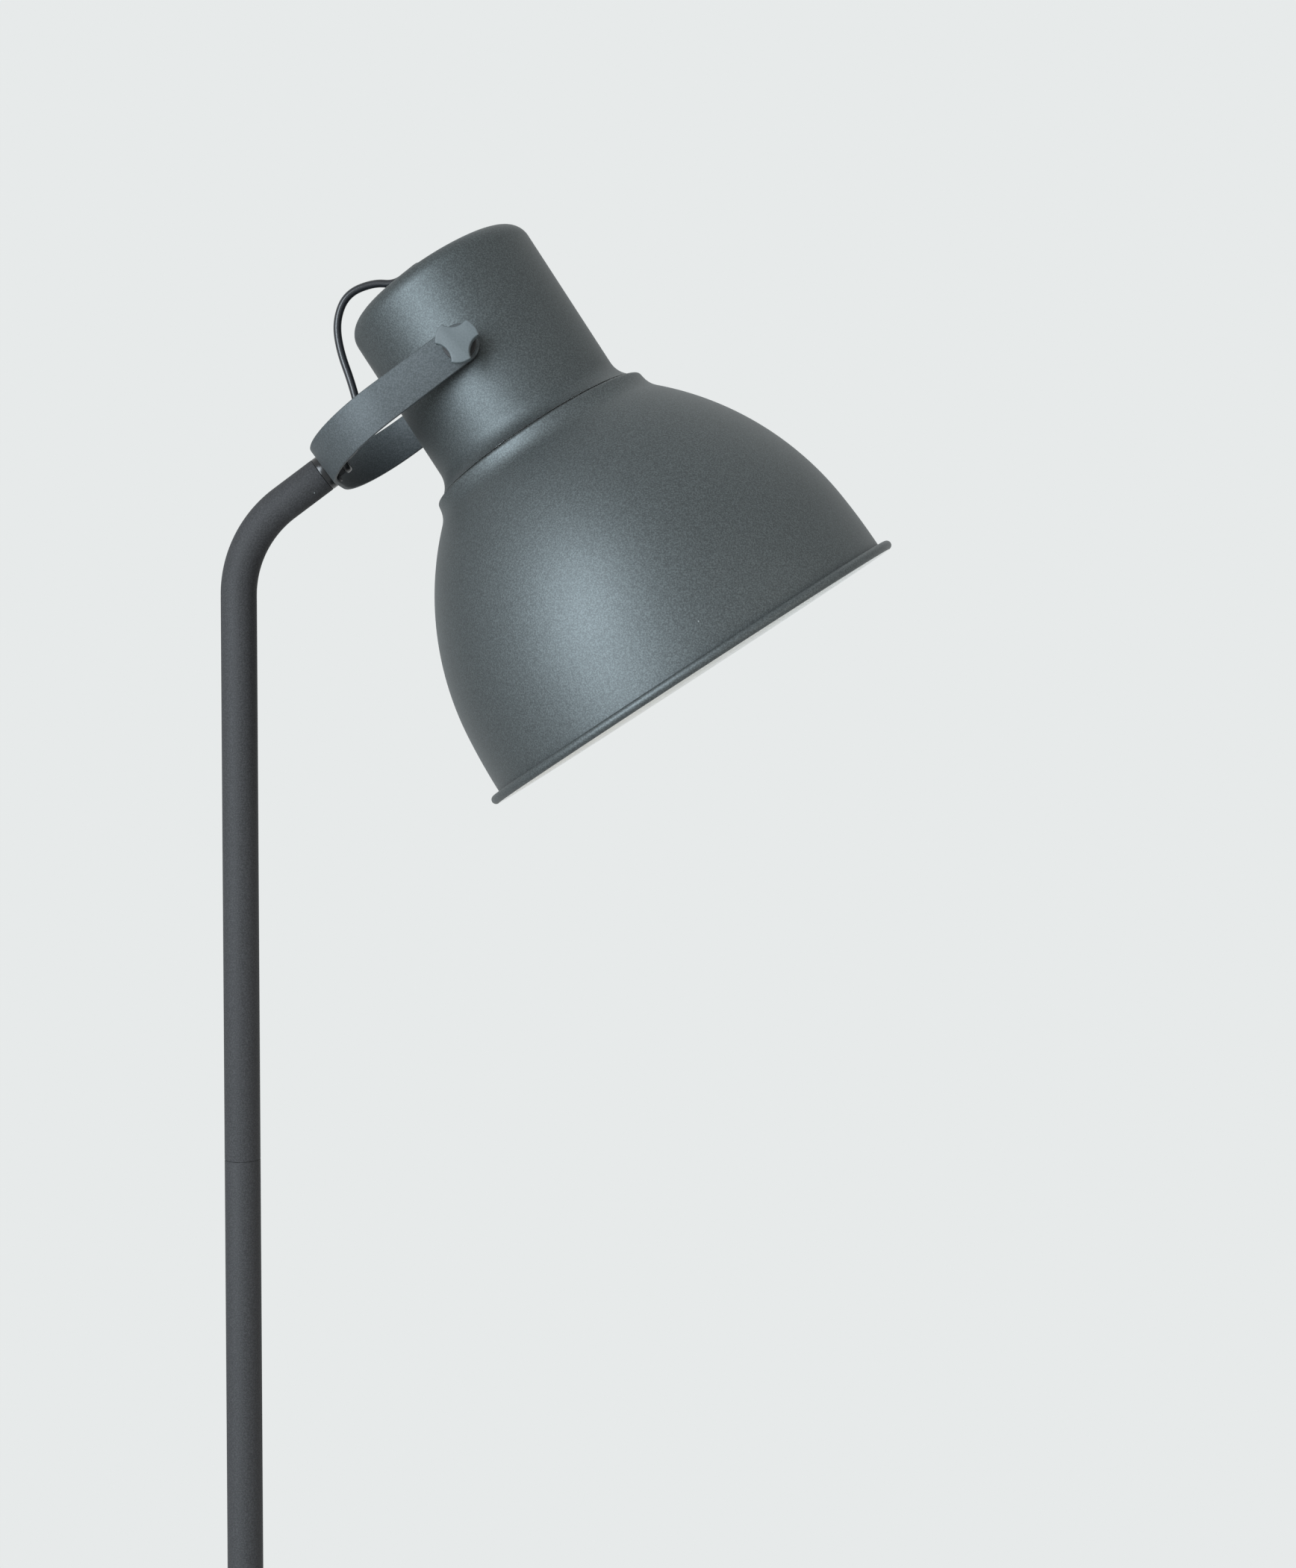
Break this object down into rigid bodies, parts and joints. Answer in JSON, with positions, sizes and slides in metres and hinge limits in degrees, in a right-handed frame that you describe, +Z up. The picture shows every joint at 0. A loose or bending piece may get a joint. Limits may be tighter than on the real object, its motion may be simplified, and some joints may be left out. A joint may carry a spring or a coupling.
{
  "type": "reading floor lamp",
  "caption": "Floor-standing reading lamp: round weighted base, slim steel pole with one bend, and a bell-shaped shade on a cylindrical housing that tilts in a swivelling yoke.",
  "frame": {"origin": "centre of the base's underside, on the floor", "axes": "+Z up, +X from the pole towards the head and shade, +Y to the lamp's left, so the pictured side is -Y"},
  "size_m": [0.5204, 0.31, 1.807],
  "materials": {
    "painted_steel": "fine-textured dark grey powder coat",
    "cast_weight": "rough, black primer",
    "pad_rubber": "matte",
    "zinc_steel": "zinc plated",
    "black_plastic": "gloss",
    "knob_plastic": "matte grey",
    "cable_pvc": "satin black sheath",
    "holder_plastic": "satin",
    "shade_steel": "fine-textured dark grey powder coat outside, white enamel inside",
    "aluminium_cap": "plain",
    "opal_glass": "opal"
  },
  "bodies": {
    "stand": {"base_cover": "painted_steel", "base_weight": "cast_weight", "base_pads": "pad_rubber", "foot_plate": "painted_steel", "foot_screws": "zinc_steel", "base_gland": "pad_rubber", "lower_pole": "painted_steel", "lower_joiner": "zinc_steel", "middle_pole": "painted_steel", "upper_joiner": "zinc_steel", "upper_pole": "painted_steel", "pole_end_plug": "zinc_steel", "swivel_ring": "black_plastic", "swivel_tube": "zinc_steel", "swivel_washer": "zinc_steel", "swivel_nut": "zinc_steel", "cable_bush": "black_plastic", "pole_cord": "cable_pvc"},
    "yoke_arm": {"yoke": "painted_steel", "head_cord": "cable_pvc"},
    "head": {"shade": "shade_steel", "housing": "painted_steel", "top_grommet": "pad_rubber", "clamp_ring": "zinc_steel", "shade_screws": "zinc_steel", "inner_bracket": "zinc_steel", "bracket_nuts": "zinc_steel", "lamp_nipple": "zinc_steel", "nipple_nut": "zinc_steel", "lampholder": "holder_plastic", "bulb_cap": "aluminium_cap", "bulb_glass": "opal_glass", "inner_lead": "cable_pvc", "near_spacer": "black_plastic", "far_spacer": "black_plastic"},
    "near_knob_body": {"near_knob": "knob_plastic", "near_stud": "zinc_steel", "near_washer": "black_plastic"},
    "far_knob_body": {"far_knob": "knob_plastic", "far_stud": "zinc_steel", "far_washer": "black_plastic"}
  },
  "joints": [
    {"name": "yoke_swivel", "type": "hinge", "parent": "stand", "child": "yoke_arm", "pos_m": [-0.00421, 0, 1.64689], "axis": [0.8039, 0, 0.5948], "range_deg": [-60, 60]},
    {"name": "head_tilt", "type": "hinge", "parent": "yoke_arm", "child": "head", "pos_m": [0.09418, 0, 1.71969], "axis": [0, -1, 0], "range_deg": [-28, 60], "deforming": ["head_cord"]},
    {"name": "near_knob_turn", "type": "hinge", "parent": "head", "child": "near_knob_body", "pos_m": [0.09418, 0, 1.71969], "axis": [0, -1, 0], "range_deg": [0, 270]},
    {"name": "far_knob_turn", "type": "hinge", "parent": "head", "child": "far_knob_body", "pos_m": [0.09418, 0, 1.71969], "axis": [0, 1, 0], "range_deg": [0, 270]}
  ]
}
